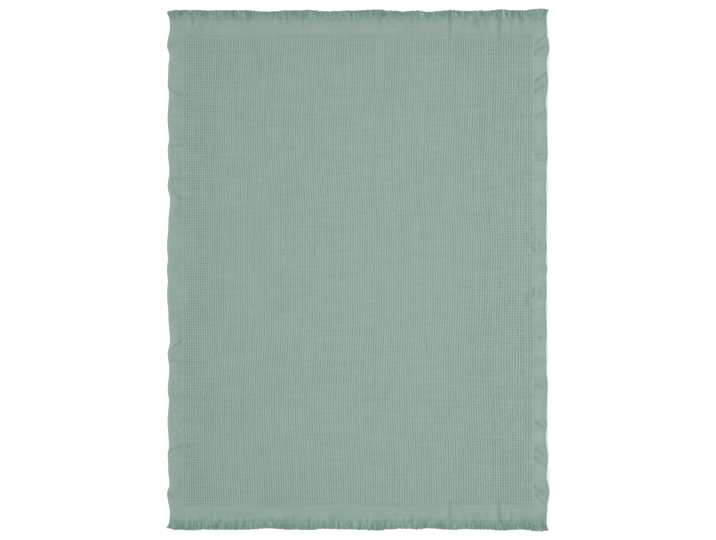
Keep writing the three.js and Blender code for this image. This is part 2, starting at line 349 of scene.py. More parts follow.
# How far the fringe's cut line wanders past FRINGE_REACH, alike at both ends.
CUT_LINE_COLUMNS = ("across", "past")
CUT_LINE = (
    (-0.657, -0.0060),
    (-0.622, 0.0017),
    (-0.556, 0.0024),
    (-0.521, -0.0003),
    (-0.486, 0.0009),
    (-0.390, 0.0012),
    (-0.313, -0.0036),
    (-0.228, 0.0007),
    (-0.156, 0.0015),
    (-0.124, -0.0024),
    (-0.040, -0.0003),
    (0.076, 0.0034),
    (0.100, 0.0000),
    (0.160, -0.0028),
    (0.202, 0.0004),
    (0.236, -0.0040),
    (0.327, 0.0018),
    (0.358, -0.0008),
    (0.440, 0.0000),
    (0.494, 0.0039),
    (0.562, 0.0003),
    (0.618, 0.0068),
    (0.657, 0.0050),
)

# How far the waffle's columns bow sideways on their way along the throw, alike towards both ends.
LINE_BOW_COLUMNS = ("along", "shift")
LINE_BOW = (
    (0.00, -0.0035),
    (0.14, -0.0027),
    (0.40, -0.0103),
    (0.80, 0.0000),
)

# Small creases pressed into the cloth, each a straight soft trough, alike towards both ends.
# Each row: from_x, from_y, to_x, to_y, depth, half_width. A depth below 0 is a soft ridge.
CREASES = (
    # right border
    (0.616, 0.775, 0.650, 0.806, 0.0042, 0.0060),
    (0.611, 0.745, 0.644, 0.765, 0.0046, 0.0070),
    (0.614, 0.648, 0.649, 0.672, 0.0048, 0.0065),
    (0.614, 0.614, 0.641, 0.629, 0.0048, 0.0065),
    (0.614, 0.550, 0.644, 0.552, 0.0024, 0.0050),
    (0.616, 0.524, 0.645, 0.542, 0.0048, 0.0065),
    (0.615, 0.394, 0.644, 0.404, 0.0040, 0.0055),
    (0.612, 0.378, 0.640, 0.380, 0.0032, 0.0048),
    (0.612, 0.304, 0.637, 0.310, 0.0040, 0.0052),
    (0.628, 0.238, 0.634, 0.226, 0.0026, 0.0065),
    (0.600, 0.141, 0.641, 0.136, 0.0040, 0.0050),
    (0.604, 0.093, 0.609, 0.065, 0.0040, 0.0075),
    # left border
    (-0.645, 0.770, -0.592, 0.783, 0.0040, 0.0105),
    (-0.648, 0.622, -0.600, 0.605, 0.0047, 0.0049),
    (-0.626, 0.596, -0.560, 0.596, 0.0025, 0.0040),
    (-0.625, 0.572, -0.592, 0.571, 0.0025, 0.0040),
    (-0.607, 0.534, -0.602, 0.519, 0.0032, 0.0054),
    (-0.640, 0.426, -0.597, 0.428, 0.0040, 0.0049),
    (-0.635, 0.396, -0.634, 0.386, 0.0025, 0.0054),
    (-0.635, 0.311, -0.594, 0.314, 0.0040, 0.0054),
    (-0.631, 0.268, -0.600, 0.242, 0.0040, 0.0054),
    (-0.625, 0.194, -0.597, 0.194, 0.0032, 0.0049),
    (-0.638, 0.153, -0.607, 0.156, 0.0032, 0.0054),
    (-0.631, 0.004, -0.598, 0.004, 0.0025, 0.0049),
    # end borders
    (0.491, 0.868, 0.489, 0.790, 0.0030, 0.0075),
    (0.320, 0.868, 0.322, 0.796, 0.0024, 0.0075),
    (0.352, 0.862, 0.350, 0.832, -0.0024, 0.0120),
    (0.436, 0.862, 0.434, 0.836, -0.0022, 0.0100),
    (0.521, 0.858, 0.519, 0.826, -0.0028, 0.0120),
    (0.101, 0.862, 0.146, 0.833, 0.0020, 0.0065),
    (0.192, 0.866, 0.192, 0.846, 0.0016, 0.0060),
    (0.136, 0.812, 0.184, 0.826, 0.0011, 0.0060),
    (-0.566, 0.842, -0.556, 0.859, 0.0018, 0.0070),
    (-0.497, 0.853, -0.497, 0.814, 0.0014, 0.0065),
    # field
    (0.471, 0.722, 0.471, 0.430, 0.0008, 0.0090),
    (0.583, 0.118, 0.588, 0.085, 0.0030, 0.0100),
    (0.254, 0.462, 0.236, 0.456, 0.0016, 0.0060),
    (0.166, 0.560, 0.150, 0.570, 0.0016, 0.0060),
)

cloth_low, cloth_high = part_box("throw_cloth")
strip_low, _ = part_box("fringe_head")
HALF_SPAN = max(cloth_high.x, -cloth_low.x)
CLOTH_END = cloth_high.y
WOVEN_END = strip_low.y + STRIP_DEPTH
CELL_WIDTH = 2 * FIELD_X / COLUMNS
CELL_LENGTH = 2 * FIELD_Y / ROWS


# The throw's form

def named(table, columns):
    """A table's columns by name, as arrays."""
    return dict(zip(columns, np.array(table).T))


def by_side(x, left, right):
    """The left or the right side's value, by each point's side of the throw's middle line."""
    return np.where(np.asarray(x) >= 0, right, left)


def ease(share):
    """A soft rise from 0 to 1 as the share goes from 0 to 1."""
    return (1 - np.cos(np.pi * np.clip(share, 0, 1))) / 2


def lerp(low, high, share):
    """The value at a share of the way from low to high."""
    return low + (high - low) * share


def eased(places, values, place):
    """The value at a place, eased from one turning point to the next."""
    after = np.clip(np.searchsorted(places, place), 1, len(places) - 1)
    before = after - 1
    share = (place - places[before]) / (places[after] - places[before])
    return lerp(values[before], values[after], ease(share))


def clouds(x, y, patch, use):
    """Smooth uneven values from -1 to 1, in patches of about one size both ways, or of a pair of sizes."""
    patch_x, patch_y = np.broadcast_to(patch, 2)
    count_x = int(2 * HALF_SPAN / patch_x) + SPARE_KNOTS
    count_y = int(2 * WOVEN_END / patch_y) + SPARE_KNOTS
    knots = np.random.default_rng(SEEDS[use]).uniform(-1, 1, (count_x, count_y))
    at_x = (x + HALF_SPAN) / patch_x + 1
    at_y = (y + WOVEN_END) / patch_y + 1
    i = np.floor(at_x).astype(int)
    j = np.floor(at_y).astype(int)
    share_x = ease(at_x - i)
    share_y = ease(at_y - j)
    near = lerp(knots[i, j], knots[i + 1, j], share_x)
    far = lerp(knots[i, j + 1], knots[i + 1, j + 1], share_x)
    return lerp(near, far, share_y)


def selvedge_value(column, x, y):
    """A column of the selvedge table for each point's side, at its place along the throw."""
    tables = [named(rows, SELVEDGE_COLUMNS) for rows in (LEFT_SELVEDGE, RIGHT_SELVEDGE)]
    left, right = (eased(table["along"], table[column], np.abs(y)) for table in tables)
    return by_side(x, left, right)


def curl_share(x, y):
    """How much of the right selvedge's curl there is on a point's side, from 0 to 1."""
    return by_side(x, 0, ease((WOVEN_END - np.abs(y)) / CURL_FADE))


def edge_reach(x, y):
    """Distance of the selvedge on a point's side from the throw's middle line."""
    return HALF_SPAN - selvedge_value("inset", x, y) - CURL_LOSS * curl_share(x, y)


def ruffle_share(x, outward):
    """Share of a ruffle's lift at a share of the way outward from the field to the selvedge."""
    crest = by_side(x, LEFT_CREST, RIGHT_CREST)
    edge = by_side(x, LEFT_EDGE, RIGHT_EDGE)
    beyond = lerp(1, edge, ease((outward - crest) / (1 - crest)))
    return np.where(outward < crest, ease(outward / crest), beyond)


def ripple_lift(x):
    """Height of the end borders' soft ridges, where they are full."""
    ripples = named(END_RIPPLES, END_RIPPLE_COLUMNS)
    apart = (np.asarray(x)[..., None] - ripples["across"]) / ripples["half_width"]
    return (ripples["lift"] * np.exp(-apart ** 2)).sum(-1)


def creases_near(x, y):
    """Each small crease's depth, with the squared distance of every point from it, in half widths."""
    for from_x, from_y, to_x, to_y, depth, half_width in CREASES:
        run_x, run_y = to_x - from_x, to_y - from_y
        length = math.hypot(run_x, run_y)
        off_x, off_y = x - from_x, np.abs(y) - from_y
        along = (off_x * run_x + off_y * run_y) / length
        aside = (off_x * run_y - off_y * run_x) / length
        beyond = np.maximum(np.maximum(-along, along - length), 0)
        yield depth, (aside ** 2 + beyond ** 2) / half_width ** 2


def crease_relief(x, y):
    """The small creases: each a trough between two low shoulders, which fade at its ends."""
    relief = 0
    for depth, apart in creases_near(x, y):
        shoulders = SHOULDER * np.exp(-apart / SHOULDER_SPREAD ** 2)
        relief = relief + depth * (shoulders - CREASE_CUT * np.exp(-apart))
    return relief


def crease_shade(x, y):
    """How much shade the creases hold, from 0 to 1."""
    held = 0
    for depth, apart in creases_near(x, y):
        held = held + max(depth, 0) / FULL_CREASE_SHADE * np.exp(-apart)
    return np.minimum(held, 1)


def pucker_relief(x, y):
    """Small puckers that run into the end borders from the fringe's roots."""
    from_end = WOVEN_END - np.abs(y)
    uneven = 1 + clouds(x, y, PUCKER_PATCH, "puckers")
    return PUCKER_HEIGHT * uneven * np.exp(-(from_end / PUCKER_REACH) ** 2)


def drape(x, y):
    """Height of the cloth's lie: nothing under the field, rising to ruffled, rippled and creased edges."""
    out_x = (np.abs(x) - FIELD_X) / (edge_reach(x, y) - FIELD_X)
    out_y = (np.abs(y) - FIELD_Y) / (CLOTH_END - FIELD_Y)
    ruffle = selvedge_value("lift", x, y) * ruffle_share(x, out_x)
    curl = RIGHT_CURL * curl_share(x, y) * ease(1 - (edge_reach(x, y) - x) / CURL_WIDTH)
    return ruffle + curl + ripple_lift(x) * ease(out_y) + crease_relief(x, y) + pucker_relief(x, y)


def waffle_share(x, y):
    """1 in the waffle and 0 in the plain border, with a short uneven change from one to the other."""
    from_side = (FIELD_X - np.abs(x)) / SIDE_CHANGE
    from_end = (FIELD_Y - np.abs(y)) / END_CHANGE
    uneven = CHANGE_UNEVEN * clouds(x, y, CHANGE_PATCH, "weave_change")
    return ease(np.minimum(from_side, from_end) + CHANGE_OUTSIDE + uneven)


def end_line_shade(x, y):
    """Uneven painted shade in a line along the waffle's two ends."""
    apart = (np.abs(y) - FIELD_Y) / END_LINE_WIDTH
    strength = END_LINE_MEAN + END_LINE_UNEVEN * clouds(x, y, END_LINE_PATCH, "end_line_shade")
    return np.exp(-apart ** 2) * strength * (np.abs(x) < FIELD_X)


def inside_rim(x):
    """0 at the field's sides and 1 where their drawing in is no longer felt."""
    return ease((FIELD_X - np.abs(x)) / by_side(x, LEFT_RIM_REACH, RIGHT_RIM_REACH))


def pit_depth(x, y):
    """Depth of the waffle's cells: deeper near the sides, uneven in patches, fading into the border."""
    depth = lerp(by_side(x, LEFT_PIT_DEPTH, RIGHT_PIT_DEPTH), PIT_DEPTH, inside_rim(x))
    depth = depth + END_PIT_EXTRA * (1 - ease((FIELD_Y - np.abs(y)) / END_RIM_REACH))
    by_row = ROW_UNEVEN * clouds(x, y, ROW_PATCH, "depth_by_row")
    by_column = COLUMN_UNEVEN * clouds(x, y, COLUMN_PATCH, "depth_by_column")
    return depth * (1 + by_row + by_column) * waffle_share(x, y)


# The woven cloth

def grid_lines(cells):
    """Places of the weave's lines, two to a cell: 1 at the field's edge and 2 at the cloth's."""
    field = np.linspace(-1, 1, 2 * cells + 1)
    border = np.linspace(1, 2, 2 * BORDER_CELLS + 1)[1:]
    border[-2] = 2 - ROUNDED_EDGE
    return np.concatenate([-border[::-1], field, border])


def woven_edge(x, end):
    """How far the weave reaches at an end, where its last picks have slipped unevenly."""
    y = np.full_like(x, WOVEN_END) * end
    long_slip = LONG_SLIP * clouds(x, y, LONG_SLIP_PATCH, "long_slips")
    short_slip = SHORT_SLIP * clouds(x, y, SHORT_SLIP_PATCH, "short_slips")
    return WOVEN_END + PICK_SLIP * (long_slip + short_slip)


def grid_points():
    """X and Y of every grid crossing, in their nominal places."""
    across, along = np.meshgrid(grid_lines(COLUMNS), grid_lines(ROWS), indexing="ij")
    side, end = np.sign(across), np.sign(along)
    share_x, share_y = np.abs(across) - 1, np.abs(along) - 1
    field_x, field_y = across * FIELD_X, along * FIELD_Y
    straight_y = np.where(share_y <= 0, field_y, end * lerp(FIELD_Y, WOVEN_END, share_y))
    border_x = side * lerp(FIELD_X, edge_reach(across, straight_y), share_x)
    x = np.where(share_x <= 0, field_x, border_x)
    border_y = end * lerp(FIELD_Y, woven_edge(x, end), share_y)
    return x, np.where(share_y <= 0, field_y, border_y)


def line_bow(x, y):
    """How far the waffle's columns are drawn and bowed sideways, fading out towards the field's sides."""
    bows = named(LINE_BOW, LINE_BOW_COLUMNS)
    bow = eased(bows["along"], bows["shift"], np.abs(y) + BOW_LEAN * x)
    from_side = np.maximum(FIELD_X - np.abs(x), 0)
    in_field = np.minimum(np.abs(x) / FIELD_X, 1)
    to_edge = (edge_reach(x, y) - x) / (edge_reach(x, y) - FIELD_X)
    to_left = DRAWN_LEFT * (1 - in_field ** DRAWN_LEFT_CURVE)
    on_right = by_side(x, 0, in_field) ** DRAWN_RIGHT_CURVE
    to_right = DRAWN_RIGHT * on_right * np.clip(to_edge, 0, 1)
    return bow * ease(from_side / BOW_FADE) - to_left + to_right


def line_drift(x, y, patch, line):
    """How far the columns or the rows of cells wander, and waver on their way."""
    drift = LINE_DRIFT * clouds(x, y, patch, f"{line}_drift")
    return drift + LINE_WAVER * clouds(x, y, WAVER_PATCH, f"{line}_waver")


def strayed(x, y):
    """The crossings as woven: lines that wander and crossings that stray, with the cloth's outline kept."""
    rng = np.random.default_rng(SEEDS["crossings"])
    held_x = np.clip((edge_reach(x, y) - np.abs(x)) / CELL_WIDTH, 0, 1)
    held_y = np.clip((WOVEN_END - PICK_SLIP - np.abs(y)) / CELL_LENGTH, 0, 1)
    drift_x = line_drift(x, y, COLUMN_DRIFT_PATCH, "column")
    drift_y = line_drift(x, y, ROW_DRIFT_PATCH, "row")
    jitter_x, jitter_y = CELL_JITTER * rng.uniform(-1, 1, (2, *x.shape))
    return x + line_bow(x, y) + (drift_x + jitter_x) * held_x, y + (drift_y + jitter_y) * held_y


def rounded_edge(border):
    """Thickness of the border, drawn in to a thin edge along all four sides."""
    rounded = border.copy()
    for rim in (np.s_[0, :], np.s_[-1, :], np.s_[:, 0], np.s_[:, -1]):
        rounded[rim] = EDGE_THICKNESS
    return rounded


def thickness(x, y):
    """Thickness of the cloth at the waffle's ridges and on the plain border."""
    rng = np.random.default_rng(SEEDS["ridges"])
    outside = np.maximum(np.abs(x) - FIELD_X, np.abs(y) - FIELD_Y)
    plain = ease((outside + CELL_WIDTH) / THINNING)
    ridge = FIELD_THICKNESS + RIDGE_JITTER * rng.uniform(-1, 1, x.shape)
    swell = SWELL_HEIGHT * clouds(x, y, SWELL_PATCH, "swells")
    swell = swell + DIMPLE_HEIGHT * clouds(x, y, DIMPLE_PATCH, "dimples")
    border = BORDER_THICKNESS + BORDER_SWELL * np.abs(swell)
    return lerp(ridge + swell, rounded_edge(border), plain)


def squares(index):
    """The four points round each square of a grid of points, anticlockwise from above."""
    return np.stack([index[:-1, :-1], index[1:, :-1], index[1:, 1:], index[:-1, 1:]], axis=-1)


def rim_of(index):
    """The points along a grid's edge, anticlockwise from above."""
    return np.concatenate([index[:-1, 0], index[-1, :-1], index[:0:-1, -1], index[0, :0:-1]])


def pit_facets(index):
    """Facets down into each waffle cell: six, and one more beside the side borders' finer squares."""
    low_left, low_right, high_right, high_left = np.moveaxis(squares(index[::2, ::2]), -1, 0)
    middle = index[1::2, 1::2]
    column, row = np.indices(middle.shape)
    sides = (
        (low_left, index[1::2, :-1:2], low_right, row >= 0),
        (low_right, index[2::2, 1::2], high_right, column == COLUMNS - 1),
        (high_right, index[1::2, 2::2], high_left, row >= 0),
        (high_left, index[:-1:2, 1::2], low_left, column == 0),
    )
    facets = []
    for start, halfway, end, halved in sides:
        facets.append(np.stack([start, end, middle], -1)[~halved])
        facets.append(np.stack([start, halfway, middle], -1)[halved])
        facets.append(np.stack([halfway, end, middle], -1)[halved])
    return np.concatenate(facets)


def sunken(flat_x, flat_y):
    """How far each grid point lies below the waffle's ridges: the cells' middles, and the ridges across."""
    rng = np.random.default_rng(SEEDS["cells"])
    edge = 2 * BORDER_CELLS
    middles = np.s_[edge + 1:-edge:2, edge + 1:-edge:2]
    cross_ridges = np.s_[edge + 1:-edge:2, edge + 2:-edge - 1:2]
    dip = lerp(RIM_RIDGE_DIP, CROSS_RIDGE_DIP, inside_rim(flat_x))
    depth = np.zeros(flat_x.shape)
    for places, share in ((middles, np.ones(dip.shape)), (cross_ridges, dip)):
        uneven = rng.uniform(*CELL_DEPTHS, dip[places].shape)
        depth[places] = share[places] * uneven * pit_depth(flat_x[places], flat_y[places])
    return depth


def sheet_faces(upper, lower):
    """Flat faces of the cloth in the field and round the rim, then smooth ones on the border and below.

    The upper points are two to a cell, and the lower ones, under every other upper point, one to a cell.
    """
    fine = np.s_[2 * BORDER_CELLS:-2 * BORDER_CELLS, 2 * BORDER_CELLS:-2 * BORDER_CELLS]
    coarse = np.s_[BORDER_CELLS:-BORDER_CELLS, BORDER_CELLS:-BORDER_CELLS]
    edge, under = rim_of(upper), rim_of(lower)
    around = [under, np.roll(under, -1), np.roll(edge[::2], -1), edge[1::2], edge[::2]]
    flat = pit_facets(upper[fine]).tolist() + np.stack(around, -1).tolist()
    smooth = []
    for index, field, winding in ((upper, fine, 1), (lower, coarse, -1)):
        corners = squares(index)
        plain = np.ones(corners.shape[:2], bool)
        plain[field] = False
        smooth += corners[plain][:, ::winding].tolist()
    smooth.append(rim_of(lower[coarse])[::-1].tolist())
    return flat, smooth


def sheet_mesh(points, flat, smooth):
    """A mesh of flat and smooth faces, and the numbers of the points that it keeps: those in use."""
    faces = flat + smooth
    used, compact = np.unique(np.concatenate(faces), return_inverse=True)
    ends = np.cumsum([len(face) for face in faces])
    mesh = bpy.data.meshes.new("woven_throw")
    mesh.from_pydata(points[used], [], [part.tolist() for part in np.split(compact, ends[:-1])])
    mesh.polygons.foreach_set("use_smooth", np.arange(len(faces)) >= len(flat))
    return mesh, used


def cloth_marks(flat_x, flat_y, x, y, depth):
    """What the cloth's material reads at each grid point, by name."""
    return {
        "waffle": waffle_share(flat_x, flat_y),
        "end_line_shade": end_line_shade(flat_x, flat_y),
        "pit_shade": (depth / FULL_PIT_SHADE) ** PIT_SHADE_CURVE,
        "rim": 1 - inside_rim(flat_x),
        "painted_crease_shade": crease_shade(x, y),
        "from_end": woven_edge(flat_x, np.sign(flat_y)) - np.abs(flat_y),
    }


def throw_mesh():
    """The cloth as one closed sheet. Each waffle cell is a pit of facets, and the border is smooth."""
    flat_x, flat_y = grid_points()
    x, y = strayed(flat_x, flat_y)
    lie = drape(x, y)
    depth = sunken(flat_x, flat_y)
    below = np.maximum(lie, 0)
    full = thickness(flat_x, flat_y) + PRESSED * np.minimum(lie, 0)
    above = below + np.maximum(full - depth, THINNEST)

    upper = np.arange(x.size).reshape(x.shape)
    lower = upper[::2, ::2] + x.size
    sides = [np.stack([x, y, height], -1).reshape(-1, 3) for height in (above, below)]
    mesh, used = sheet_mesh(np.concatenate(sides), *sheet_faces(upper, lower))

    def on_both_sides(values):
        """Values on the grid for the points in use above and below."""
        return np.tile(values.ravel(), 2)[used]

    across = flat_x / CELL_WIDTH + COLUMNS / 2
    along = flat_y / CELL_LENGTH + ROWS / 2
    lay_weave(mesh, on_both_sides(across), on_both_sides(along))
    for name, values in cloth_marks(flat_x, flat_y, x, y, depth).items():
        mark(mesh, name, on_both_sides(values))
    return mesh


def lay_weave(mesh, across, along):
    """A UV map that counts waffle cells across and along the cloth."""
    corner_points = np.empty(len(mesh.loops), int)
    mesh.loops.foreach_get("vertex_index", corner_points)
    layer = mesh.uv_layers.new(name="weave")
    cells = np.stack([across, along], -1)[corner_points]
    layer.uv.foreach_set("vector", cells.astype(np.float32).ravel())


def mark(mesh, name, values):
    """A named number at each of the mesh's points, for its material or its node tree."""
    attribute = mesh.attributes.new(name, "FLOAT", "POINT")
    attribute.data.foreach_set("value", values.astype(np.float32))


def add_object(name, data):
    """A new object in the scene, at the origin."""
    piece = bpy.data.objects.new(name, data)
    bpy.context.scene.collection.objects.link(piece)
    return piece


# Node trees

class Wire:
    """A value in a node tree that can be written into plain sums. Each step is one Math node."""

    def __init__(self, socket):
        self.socket = socket

    def step(self, operation, *others):
        """The result of one Math operation on this value and the others."""
        node = self.socket.id_data.nodes.new("ShaderNodeMath")
        node.operation = operation
        for socket, value in zip(node.inputs, (self, *others)):
            plug(socket, value)
        return Wire(node.outputs[0])

    def __add__(self, other):
        return self.step("ADD", other)

    def __sub__(self, other):
        return self.step("SUBTRACT", other)

    def __mul__(self, other):
        return self.step("MULTIPLY", other)

    def __truediv__(self, other):
        return self.step("DIVIDE", other)

    def __pow__(self, other):
        return self.step("POWER", other)

    def __abs__(self):
        return self.step("ABSOLUTE")

    def blend(self, other, share):
        """This value where share is 0, and the other where it is 1."""
        return (other - self) * share + self


def plug(socket, value):
    """Links a wire to a socket, or sets the socket to a plain value."""
    if isinstance(value, Wire):
        socket.id_data.links.new(value.socket, socket)
    else:
        socket.default_value = value


def add_node(tree, kind, settings=None, **inputs):
    """A new node: settings are its own properties, inputs its sockets by name, with _ for a space."""
    node = tree.nodes.new(kind)
    for name, value in (settings or {}).items():
        setattr(node, name, value)
    for name, value in inputs.items():
        title = name.replace("_", " ")
        plug(next(s for s in node.inputs if s.enabled and s.name == title), value)
    return node


def out(node, name=None):
    """A node's output as a wire: the first in use, or the one with this name."""
    return Wire(next(s for s in node.outputs if s.enabled and name in (None, s.name)))


def new_tree(name, kind, inputs, outputs):
    """A node group with named sockets, its input wires by name, and its output node."""
    tree = bpy.data.node_groups.new(name, kind)
    for title, socket in inputs.items():
        tree.interface.new_socket(title, in_out="INPUT", socket_type=socket)
    for title, socket in outputs.items():
        tree.interface.new_socket(title, in_out="OUTPUT", socket_type=socket)
    entry = tree.nodes.new("NodeGroupInput")
    exit_node = tree.nodes.new("NodeGroupOutput")
    return tree, {title: out(entry, title) for title in inputs}, exit_node


# Materials

def colour(shown):
    """A colour given as it shows on a screen, made linear for a shader by the sRGB curve."""
    shares = np.array(shown) / 255
    low, high = shares / 12.92, ((shares + 0.055) / 1.055) ** 2.4
    return (*np.where(shares <= 0.04045, low, high).tolist(), 1.0)


def stretched_noise(tree, counts):
    """Noise about 0, drawn out into streaks by how many go to a metre each way."""
    place = out(add_node(tree, "ShaderNodeTexCoord"), "Object")
    scaled = add_node(tree, "ShaderNodeMapping", Vector=place, Scale=counts)
    noise = add_node(tree, "ShaderNodeTexNoise", Vector=out(scaled), Scale=1.0, Detail=NOISE_DETAIL)
    return out(noise, "Fac") - NOISE_MEAN


def cotton_tone_group():
    """Uneven dyeing and spinning of cotton: clouds, streaks along both yarns and fine flecks in a colour."""
    inputs = {
        "Colour": "NodeSocketColor",
        "Clouds": "NodeSocketFloat",
        "Streaks": "NodeSocketFloat",
        "Flecks": "NodeSocketFloat",
    }
    tree, given, result = new_tree("cotton_tone", "ShaderNodeTree", inputs, {"Colour": "NodeSocketColor"})
    cloud = stretched_noise(tree, CLOUD_COUNTS)
    along_weft = stretched_noise(tree, WEFT_STREAK_COUNTS)
    along_warp = stretched_noise(tree, WARP_STREAK_COUNTS)
    fleck = stretched_noise(tree, FLECK_COUNTS)
    streak = along_weft + along_warp * WARP_STREAKS
    light = cloud * given["Clouds"] + streak * given["Streaks"] + fleck * given["Flecks"] + 1.0
    scale = {"operation": "SCALE"}
    toned = add_node(tree, "ShaderNodeVectorMath", scale, Vector=given["Colour"], Scale=light)
    plug(result.inputs["Colour"], out(toned, "Vector"))
    return tree


def woven_yarns_group():
    """Relief of the yarns: floats on a waffle cell's four walls, and over and under in the plain weave."""
    inputs = {
        "Across": "NodeSocketFloat",
        "Along": "NodeSocketFloat",
        "Yarns per cell": "NodeSocketFloat",
        "Plain": "NodeSocketFloat",
    }
    tree, given, result = new_tree("woven_yarns", "ShaderNodeTree", inputs, {"Height": "NodeSocketFloat"})
    across = given["Across"] * given["Yarns per cell"]
    along = given["Along"] * given["Yarns per cell"]
    warp = abs((across * math.pi).step("SINE"))
    weft = abs((along * math.pi).step("SINE"))
    from_middle_x = abs(given["Across"].step("FRACT") - 0.5)
    from_middle_y = abs(given["Along"].step("FRACT") - 0.5)
    on_side_wall = from_middle_x.step("GREATER_THAN", from_middle_y)
    picks = across.step("FLOOR") + along.step("FLOOR")
    over = picks.step("FLOORED_MODULO", 2.0)
    waffle = weft.blend(warp, on_side_wall)
    plain = weft.blend(warp, over)
    plug(result.inputs["Height"], waffle.blend(plain, given["Plain"]))
    return tree


def new_material(name):
    """A new node material's tree, its shader and the material."""
    material = bpy.data.materials.new(name)
    material.use_nodes = True
    return material.node_tree, material.node_tree.nodes["Principled BSDF"], material


def soft_cotton(shader):
    """What is the same all over any of the throw's cotton."""
    shader.inputs["Specular IOR Level"].default_value = COTTON_SPECULAR
    shader.inputs["Sheen Weight"].default_value = COTTON_SHEEN
    shader.inputs["Sheen Roughness"].default_value = SHEEN_ROUGHNESS
    shader.inputs["Sheen Tint"].default_value = colour(SHEEN_COLOUR)


def read_mark(tree, name):
    """A number marked on the mesh's points, as a wire."""
    return out(add_node(tree, "ShaderNodeAttribute", {"attribute_name": name}), "Fac")


def mixed(tree, share, first, second):
    """The first colour where share is 0, and the second where it is 1."""
    mix = add_node(tree, "ShaderNodeMix", {"data_type": "RGBA"}, Factor=share, A=first, B=second)
    return out(mix)


def fuzzy_relief(tree, shader, height, strength):
    """Gives the shader a yarn's relief, with loose fibres on it."""
    fuzzy = height + stretched_noise(tree, FIBRE_COUNTS)
    bump = add_node(tree, "ShaderNodeBump", Strength=strength, Distance=YARN_RELIEF, Height=fuzzy)
    plug(shader.inputs["Normal"], out(bump))


def yarn_height(tree, yarns, plain):
    """Height of the cloth's yarns, from 0 between them to 1 on top."""
    weave = add_node(tree, "ShaderNodeUVMap", {"uv_map": "weave"})
    cell = add_node(tree, "ShaderNodeSeparateXYZ", Vector=out(weave))
    relief = add_node(tree, "ShaderNodeGroup", {"node_tree": yarns}, Across=out(cell, "X"),
                      Along=out(cell, "Y"), Yarns_per_cell=float(YARNS_PER_CELL), Plain=plain)
    return out(relief, "Height")


def cloth_colour(tree, waffle):
    """Colour of the cloth: ridges, painted shade in the pits, the creases and along the waffle's ends, a
    plain border, and painted shade that deepens towards the fringe.
    """
    pit_shade_colour = colour(PIT_SHADE_COLOUR)
    marks = ("pit_shade", "rim", "end_line_shade", "painted_crease_shade", "from_end")
    pit_shade, rim, painted_end_line, painted_crease_shade, from_end = (read_mark(tree, name) for name in marks)
    fringe_shade = (from_end / -END_SHADE_REACH).step("EXPONENT") * END_SHADE
    ridges = mixed(tree, rim, colour(RIDGE_COLOUR), colour(RIM_RIDGE_COLOUR))
    # painted shade in the cells' pits, more in deeper cells
    cells = mixed(tree, pit_shade, ridges, pit_shade_colour)
    cloth = mixed(tree, waffle ** WAFFLE_TONE_CURVE, colour(BORDER_COLOUR), cells)
    # painted shade in a line along the waffle's ends
    end_line_shaded = mixed(tree, painted_end_line * END_LINE_SHADE, cloth, pit_shade_colour)
    # painted shade in the creases' troughs
    crease_shaded = mixed(tree, painted_crease_shade * CREASE_SHADE, end_line_shaded, pit_shade_colour)
    # painted shade that deepens towards the fringe
    return mixed(tree, fringe_shade, crease_shaded, colour(DARK_YARN_COLOUR))


def cotton_weave_material(tone, yarns):
    """Sage green cotton cloth, waffle-woven in the field and plain in the border."""
    tree, shader, material = new_material("cotton_weave")
    waffle = read_mark(tree, "waffle")
    height = yarn_height(tree, yarns, waffle * -1.0 + 1.0)
    dye_and_painted_shade = cloth_colour(tree, waffle)
    toned = add_node(tree, "ShaderNodeGroup", {"node_tree": tone}, Colour=dye_and_painted_shade, **WEAVE_TONE)
    plug(shader.inputs["Base Color"], out(toned))
    plug(shader.inputs["Roughness"], height * -TOP_POLISH + WEAVE_ROUGHNESS)
    fuzzy_relief(tree, shader, height, WEAVE_BUMP)
    soft_cotton(shader)
    return material


def ply_height(tree, reach):
    """Height of a yarn's two plies, which wind round it from its root to its tip."""
    around = add_node(tree, "ShaderNodeAttribute", {"attribute_name": "around"})
    side = add_node(tree, "ShaderNodeSeparateXYZ", Vector=out(around, "Vector"))
    turn = reach * (TWISTS * 2 * math.pi)
    return abs(out(side, "X") * turn.step("SINE") + out(side, "Y") * turn.step("COSINE"))


def cotton_fringe_material(tone):
    """Loose cotton yarns, some lighter and some darker, from the cloth's tone to greyer tips."""
    tree, shader, material = new_material("cotton_fringe")
    yarn_tone, loose, reach = (read_mark(tree, name) for name in ("yarn_tone", "loose", "reach"))
    dye = mixed(tree, yarn_tone, colour(DARK_YARN_COLOUR), colour(LIGHT_YARN_COLOUR))
    rooted = mixed(tree, loose, colour(ROOT_COLOUR), dye)
    tipped = mixed(tree, reach ** TIP_FADE_CURVE * TIP_FADE, rooted, colour(TIP_COLOUR))
    toned = add_node(tree, "ShaderNodeGroup", {"node_tree": tone}, Colour=tipped, **FRINGE_TONE)
    plug(shader.inputs["Base Color"], out(toned))
    plug(shader.inputs["Roughness"], reach * TIP_ROUGHNESS + FRINGE_ROUGHNESS)
    fuzzy_relief(tree, shader, ply_height(tree, reach), FRINGE_BUMP)
    soft_cotton(shader)
    return material


def floor_material():
    """Plain white floor that glows a little, as a light table does."""
    _, shader, material = new_material("pale_floor")
    shader.inputs["Base Color"].default_value = colour(FLOOR_COLOUR)
    shader.inputs["Emission Color"].default_value = colour(WHITE)
    shader.inputs["Emission Strength"].default_value = FLOOR_GLOW
    shader.inputs["Roughness"].default_value = FLOOR_ROUGHNESS
    shader.inputs["Specular IOR Level"].default_value = FLOOR_SPECULAR
    return material


# The fringe

